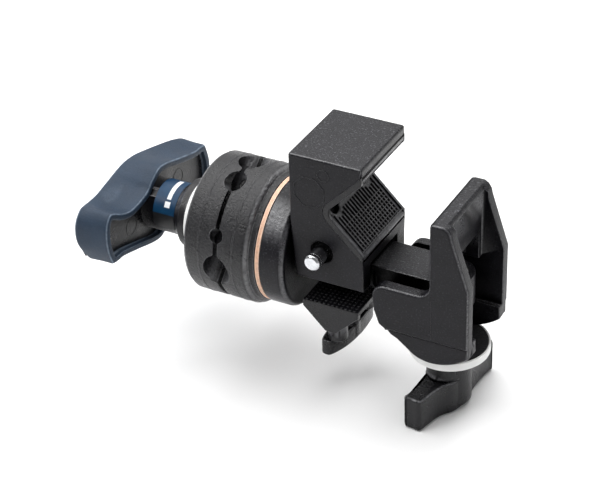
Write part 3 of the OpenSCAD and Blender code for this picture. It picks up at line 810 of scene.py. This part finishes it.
def springs():
    """Hidden springs: the pin's keeps its CAD shape on a mesh of its own, and the head's is a little
    shorter.
    """
    pin_travel, head_cut = 9.3 * MM, 1.3 * MM
    low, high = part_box("lock_pin_spring")
    piece = stands_for("lock_pin_spring", cad_mesh("lock_pin_spring"), "pin_spring")
    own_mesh(piece)
    low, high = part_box("plate_spring")
    mesh = cad_mesh("plate_spring")
    for vert in mesh.verts:
        vert.co.x = high.x + (vert.co.x - high.x) * (1 - head_cut / (high.x - low.x))
    stands_for("plate_spring", mesh, "head_spring")


def trimmed_ring(node, name, width, share):
    """A ring under the T-handle, turned a little smaller than its CAD node and rounded."""
    mesh = cad_mesh(node)
    low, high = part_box(node)
    centre = (low + high) / 2
    for vert in mesh.verts:
        for axis in (1, 2):
            vert.co[axis] = centre[axis] + (vert.co[axis] - centre[axis]) * share
    round_edges(mesh, width, None, 3)
    stands_for(node, mesh, name)


def lock_pin():
    """Spring lock pin with a knurled shaft behind its smooth nose."""
    mesh = cad_mesh("lock_pin")
    round_edges(mesh, 0.3, None, 2)
    low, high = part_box("lock_pin")
    centre = (low + high) / 2
    start, end, lead = low.y + 2.6 * MM, low.y + 9.6 * MM, 0.2 * MM
    valley, crest, overlap, teeth = 3.6 * MM, 3.8 * MM, 0.05 * MM, 30
    for level in (start, start + lead, end - lead, end):
        bmesh.ops.bisect_plane(mesh, geom=mesh.verts[:] + mesh.edges[:] + mesh.faces[:],
                               plane_co=(0, level, 0), plane_no=Y, dist=1e-7)
    for vert in mesh.verts:
        if start + lead / 2 < vert.co.y < end - lead / 2:
            out = Vector((vert.co.x - centre.x, 0, vert.co.z - centre.z))
            vert.co -= out - out.normalized() * (valley - overlap)
    rings = []
    for level, top in ((start + overlap, valley), (start + lead, crest), (end - lead, crest),
                       (end - overlap, valley)):
        rings.append([Vector((centre.x, level, centre.z))
                      + (X * math.cos(t) + Z * math.sin(t)) * (top if k % 2 else valley)
                      for k, t in enumerate(math.pi * i / teeth for i in range(2 * teeth))])
    loft(mesh, rings)
    stands_for("lock_pin", mesh, "stud_lock_pin")


def wedge():
    """Wedge with a grid of small bumps on its top."""
    mesh = cad_mesh("wedge_insert")
    round_edges(mesh, 0.4, None, 2, 30)
    low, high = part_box("wedge_insert")
    pitch, size, tall, border_x, border_y = 2.1 * MM, 0.5 * MM, 0.5 * MM, 1.6 * MM, 1.2 * MM
    columns = int((high.x - low.x - border_x) / pitch)
    rows = int((high.y - low.y - border_y) / pitch)
    centre = (low + high) / 2
    for i in range(columns + 1):
        for j in range(rows + 1):
            x = centre.x + (i - columns / 2) * pitch
            y = centre.y + (j - rows / 2) * pitch
            loft(mesh, [[Vector((x + a * s, y + b * s, high.z + h))
                         for a, b in ((-1, -1), (1, -1), (1, 1), (-1, 1))]
                        for s, h in ((size, -0.1 * MM), (size, tall / 2), (size / 2, tall))])
    stands_for("wedge_insert", mesh, "wedge_block")


def threaded_rod(node, name, pitch, depth, steps, sides, chamfer=1.2):
    """Helical thread over the whole length of an upright CAD rod, flat on its crests and roots."""
    low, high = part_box(node)
    centre = (low + high) / 2
    radius = (high.x - low.x) / 2
    pitch, depth, chamfer = pitch * MM, depth * MM, chamfer * MM
    length = high.z - low.z
    rows = int(length / pitch * steps)
    mesh = bmesh.new()
    rings = []
    for i in range(rows + 1):
        h = length * i / rows
        lead_in = min(h, length - h) + radius - chamfer
        turns = []
        for k in range(sides):
            wave = abs(((h / pitch - k / sides) % 1) * 2 - 1)
            r = min(radius - depth * min(1, max(0, 1.5 * wave - 0.25)), lead_in)
            turn = 2 * math.pi * k / sides
            turns.append(Vector((centre.x + r * math.cos(turn), centre.y + r * math.sin(turn),
                                 low.z + h)))
        rings.append(turns)
    loft(mesh, rings)
    stands_for(node, mesh, name)


clamp_body()
jaw_liner()
moving_jaw()
moving_pad()
jaw_tee()
handle_cover()
wedge()
handle_core()
head_plate("front_plate", "head_front_plate", -57.9)
head_plate("middle_plate", "head_middle_plate", -41.2)
rounded("back_plate", "head_back_plate", 0.5, 3, 25)
rounded("lock_lever", "stud_lever_handle", 1.0, 3)
trimmed_ring("grip_washer", "handle_washer", 0.5, 0.965)
springs()
trimmed_ring("thrust_ring", "handle_thrust_ring", 0.8, 0.97)
rounded("jaw_washer", "jaw_thrust_washer", 0.4, 2)
rounded("washer_facing", "jaw_washer_facing", 0.2, 1)
lock_pin()
rounded("stud_bolt", "head_stud", 0.4, 2)
threaded_rod("jaw_screw", "closing_screw", 2.5, 0.9, 8, 32)
threaded_rod("lock_screw", "stud_lock_screw", 1.25, 0.5, 6, 24, 0.6)
for name in sorted(set(NODES) - FINISHED):
    NODES[name].data.materials[0] = MATERIALS[slot_of(name)]


# ---- camera, floor and light ----------------------------------------------------------------

def camera():
    """Long lens, above the object and to the right of its front."""
    azimuth, elevation, roll = (math.radians(a) for a in (29.016, 33.30, -2.06))
    target, distance = Vector((-16.2, -10.0, -26.0)) * MM, 854.6 * MM
    back = Vector((math.sin(azimuth) * math.cos(elevation),
                   -math.cos(azimuth) * math.cos(elevation), math.sin(elevation)))
    level = Vector((math.cos(azimuth), math.sin(azimuth), 0))
    upright = back.cross(level)
    right = level * math.cos(roll) + upright * math.sin(roll)
    up = back.cross(right)
    data = bpy.data.cameras.new("camera")
    data.lens, data.sensor_width = 116.19, 36
    data.clip_start, data.clip_end = 0.05, 20
    seen_by = bpy.data.objects.new("camera", data)
    bpy.context.scene.collection.objects.link(seen_by)
    place = Matrix((right, up, back)).transposed().to_4x4()
    place.translation = target + back * distance
    seen_by.matrix_world = place
    bpy.context.scene.camera = seen_by


def floor():
    """Wide pale floor at the lowest point, painted grey in front of what the camera sees: painted
    shade for an unlit room beyond the table's edge, which the black faces reflect.
    """
    size, level = 6.0, CAD_BOX[0][2] - 0.2 * MM
    grey_to, pale_from = -0.45, -0.22
    mesh = bmesh.new()
    mesh.faces.new([mesh.verts.new((x * size, y * size, level))
                    for x, y in ((-1, -1), (1, -1), (1, 1), (-1, 1))])
    data = bpy.data.meshes.new("floor")
    mesh.to_mesh(data)
    mesh.free()
    plane = bpy.data.objects.new("floor", data)
    bpy.context.scene.collection.objects.link(plane)
    nodes = Nodes("pale_floor")
    part = nodes.add("ShaderNodeSeparateXYZ")
    nodes.link(nodes.place.outputs["Object"], part.inputs["Vector"])
    # Painted shade: the floor turns grey in front, standing for an unlit room beyond the table's
    # edge.
    fade = nodes.ramp(part.outputs["Y"], grey_to, pale_from)
    pale = nodes.mix(nodes.noise(400, 2), (0.9, 0.9, 0.9), (0.93, 0.93, 0.93))
    nodes.link(nodes.mix(fade, (0.22, 0.22, 0.22), pale), nodes.shader.inputs["Base Color"])
    nodes.shader.inputs["Roughness"].default_value = 0.7
    nodes.shader.inputs["Specular IOR Level"].default_value = 0.2
    plane.data.materials.append(nodes.material)


def softbox(name, direction, distance, size, power):
    """Round area light that faces the object from a direction."""
    aim = Vector((-0.02, 0, -0.03))
    data = bpy.data.lights.new(name, "AREA")
    data.shape, data.size, data.energy = "DISK", size, power
    lamp = bpy.data.objects.new(name, data)
    bpy.context.scene.collection.objects.link(lamp)
    way = Vector(direction).normalized()
    lamp.location = aim + way * distance
    lamp.rotation_euler = way.to_track_quat("Z", "Y").to_euler()


def light():
    """White surroundings, brighter behind the object, and three softboxes."""
    world = bpy.data.worlds.new("studio")
    bpy.context.scene.world = world
    world.use_nodes = True
    tree = world.node_tree
    background = tree.nodes["Background"]
    background.inputs["Color"].default_value = (1, 1, 1, 1)
    place = tree.nodes.new("ShaderNodeTexCoord")
    part = tree.nodes.new("ShaderNodeSeparateXYZ")
    tree.links.new(place.outputs["Generated"], part.inputs["Vector"])
    fade = tree.nodes.new("ShaderNodeMapRange")
    fade.inputs["From Min"].default_value = -0.8
    fade.inputs["From Max"].default_value = 0.9
    fade.inputs["To Min"].default_value = 0.24
    fade.inputs["To Max"].default_value = 0.74
    tree.links.new(part.outputs["Y"], fade.inputs["Value"])
    tree.links.new(fade.outputs["Result"], background.inputs["Strength"])
    softbox("top_light", (-0.35, 0.1, 1.0), 1.4, 2.2, 36)
    softbox("back_light", (0.1, 0.9, 0.9), 1.5, 0.5, 4)
    softbox("key_light", (-0.45, -0.6, 0.75), 1.3, 0.4, 3.5)
    bpy.context.scene.view_settings.view_transform = "Standard"


camera()
floor()
light()
